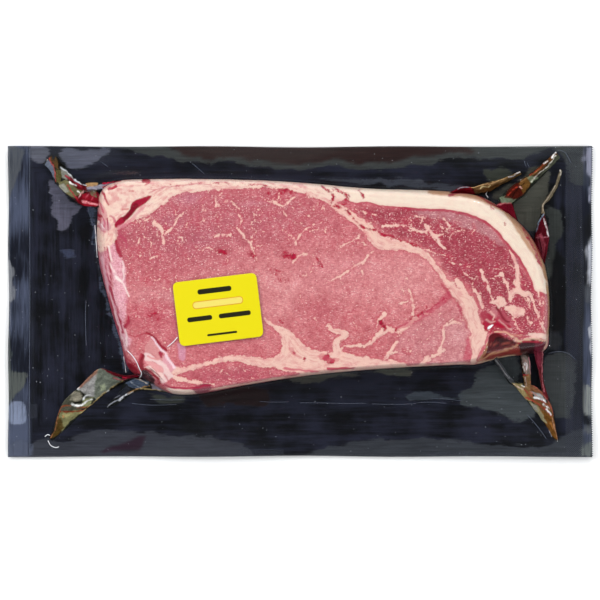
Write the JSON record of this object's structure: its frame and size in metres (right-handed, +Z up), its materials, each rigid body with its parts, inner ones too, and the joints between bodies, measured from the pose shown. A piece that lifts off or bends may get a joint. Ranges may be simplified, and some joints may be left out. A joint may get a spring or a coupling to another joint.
{
  "type": "vacuum-packed raw sirloin steak",
  "caption": "Raw boneless sirloin steak on a black backing film, under a clinging clear film with folded pleats at the corners and a plain yellow label.",
  "frame": {"origin": "middle of the backing film's underside, on the surface that the pack lies on", "axes": "+X along the pack's length, +Y across it, +Z up through the steak to the label"},
  "size_m": [0.292, 0.1554, 0.0231],
  "materials": {
    "backing": "glossy black film",
    "meat": "wet raw meat with cream fat",
    "film": "clear glossy film",
    "label": "satin"
  },
  "bodies": {
    "root": {"backing_film": "backing", "steak": "meat", "clear_film": "film", "label": "label"}
  },
  "joints": []
}
